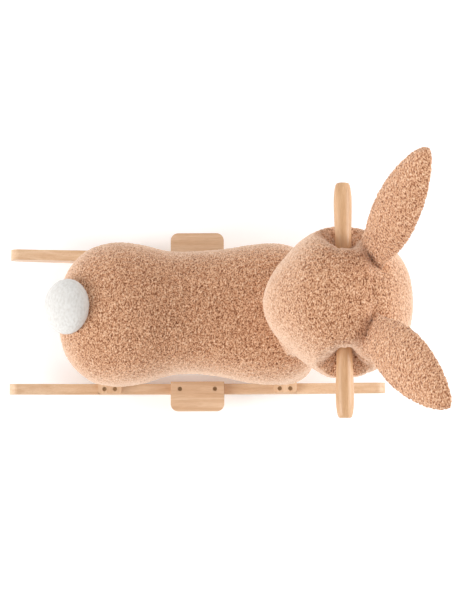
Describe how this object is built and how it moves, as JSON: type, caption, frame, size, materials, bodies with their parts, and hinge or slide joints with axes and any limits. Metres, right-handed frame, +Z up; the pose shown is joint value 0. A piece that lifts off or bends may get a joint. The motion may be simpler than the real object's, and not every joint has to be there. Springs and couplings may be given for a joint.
{
  "type": "rocking horse",
  "caption": "Toddler's ride-on plush rabbit with long ears and a pompom tail, on two curved wooden rockers with footrests and a handlebar.",
  "frame": {"origin": "on the floor, below the middle of the whole toy; the middle of the rockers is 9 mm behind it", "axes": "+X the way the rabbit faces, along the rockers; +Y the rabbit's left; +Z up"},
  "size_m": [0.6568, 0.3426, 0.6608],
  "materials": {
    "beech": "satin clear lacquer",
    "plywood": "sanded birch plywood",
    "steel": "yellow zinc plated",
    "teddy": "short curly teddy pile",
    "lining": "smooth short plush",
    "pompom": "dense white long pile",
    "stuffing": "loose polyester wadding",
    "foam": "open cell foam",
    "eye": "polished",
    "nose": "satin stitched thread"
  },
  "bodies": {
    "root": {"rocker_left": "beech", "rocker_right": "beech", "cross_slat_front": "beech", "cross_slat_rear": "beech", "footrest_left": "beech", "footrest_right": "beech", "slat_screws_front": "steel", "slat_screws_rear": "steel", "footrest_screws": "steel", "leg_post_front_left": "beech", "leg_post_front_right": "beech", "leg_post_rear_left": "beech", "leg_post_rear_right": "beech", "leg_bolts": "steel", "leg_bolt_washers": "steel", "seat_board": "plywood", "seat_board_screws": "steel", "apron_front": "beech", "apron_rear": "beech", "neck_post": "beech", "neck_gusset": "plywood", "neck_post_screws": "steel", "handlebar": "beech", "handlebar_lock_screw": "steel", "seat_foam_pad": "foam", "body_stuffing": "stuffing", "body_cover": "teddy", "belly_panel": "lining", "leg_stuffing_front_left": "stuffing", "leg_stuffing_front_right": "stuffing", "leg_stuffing_rear_left": "stuffing", "leg_stuffing_rear_right": "stuffing", "leg_cover_front_left": "teddy", "leg_cover_front_right": "teddy", "leg_cover_rear_left": "teddy", "leg_cover_rear_right": "teddy", "neck_stuffing": "stuffing", "neck_cover": "teddy", "head_stuffing": "stuffing", "head_cover": "teddy", "tail_pompom": "pompom", "eye_left": "eye", "eye_right": "eye", "nose": "nose"},
    "ear_left": {"ear_left": "teddy", "ear_lining_left": "lining"},
    "ear_right": {"ear_right": "teddy", "ear_lining_right": "lining"}
  },
  "joints": [
    {"name": "ear_left_flop", "type": "hinge", "parent": "root", "child": "ear_left", "pos_m": [0.24624, 0.06718, 0.50454], "axis": [-0.4335, 0.861, -0.266], "range_deg": [-15, 40], "stiffness_Nm_per_rad": 0.6},
    {"name": "ear_right_flop", "type": "hinge", "parent": "root", "child": "ear_right", "pos_m": [0.24733, -0.05474, 0.51207], "axis": [0.3085, 0.9024, 0.3009], "range_deg": [-15, 40], "stiffness_Nm_per_rad": 0.6}
  ]
}
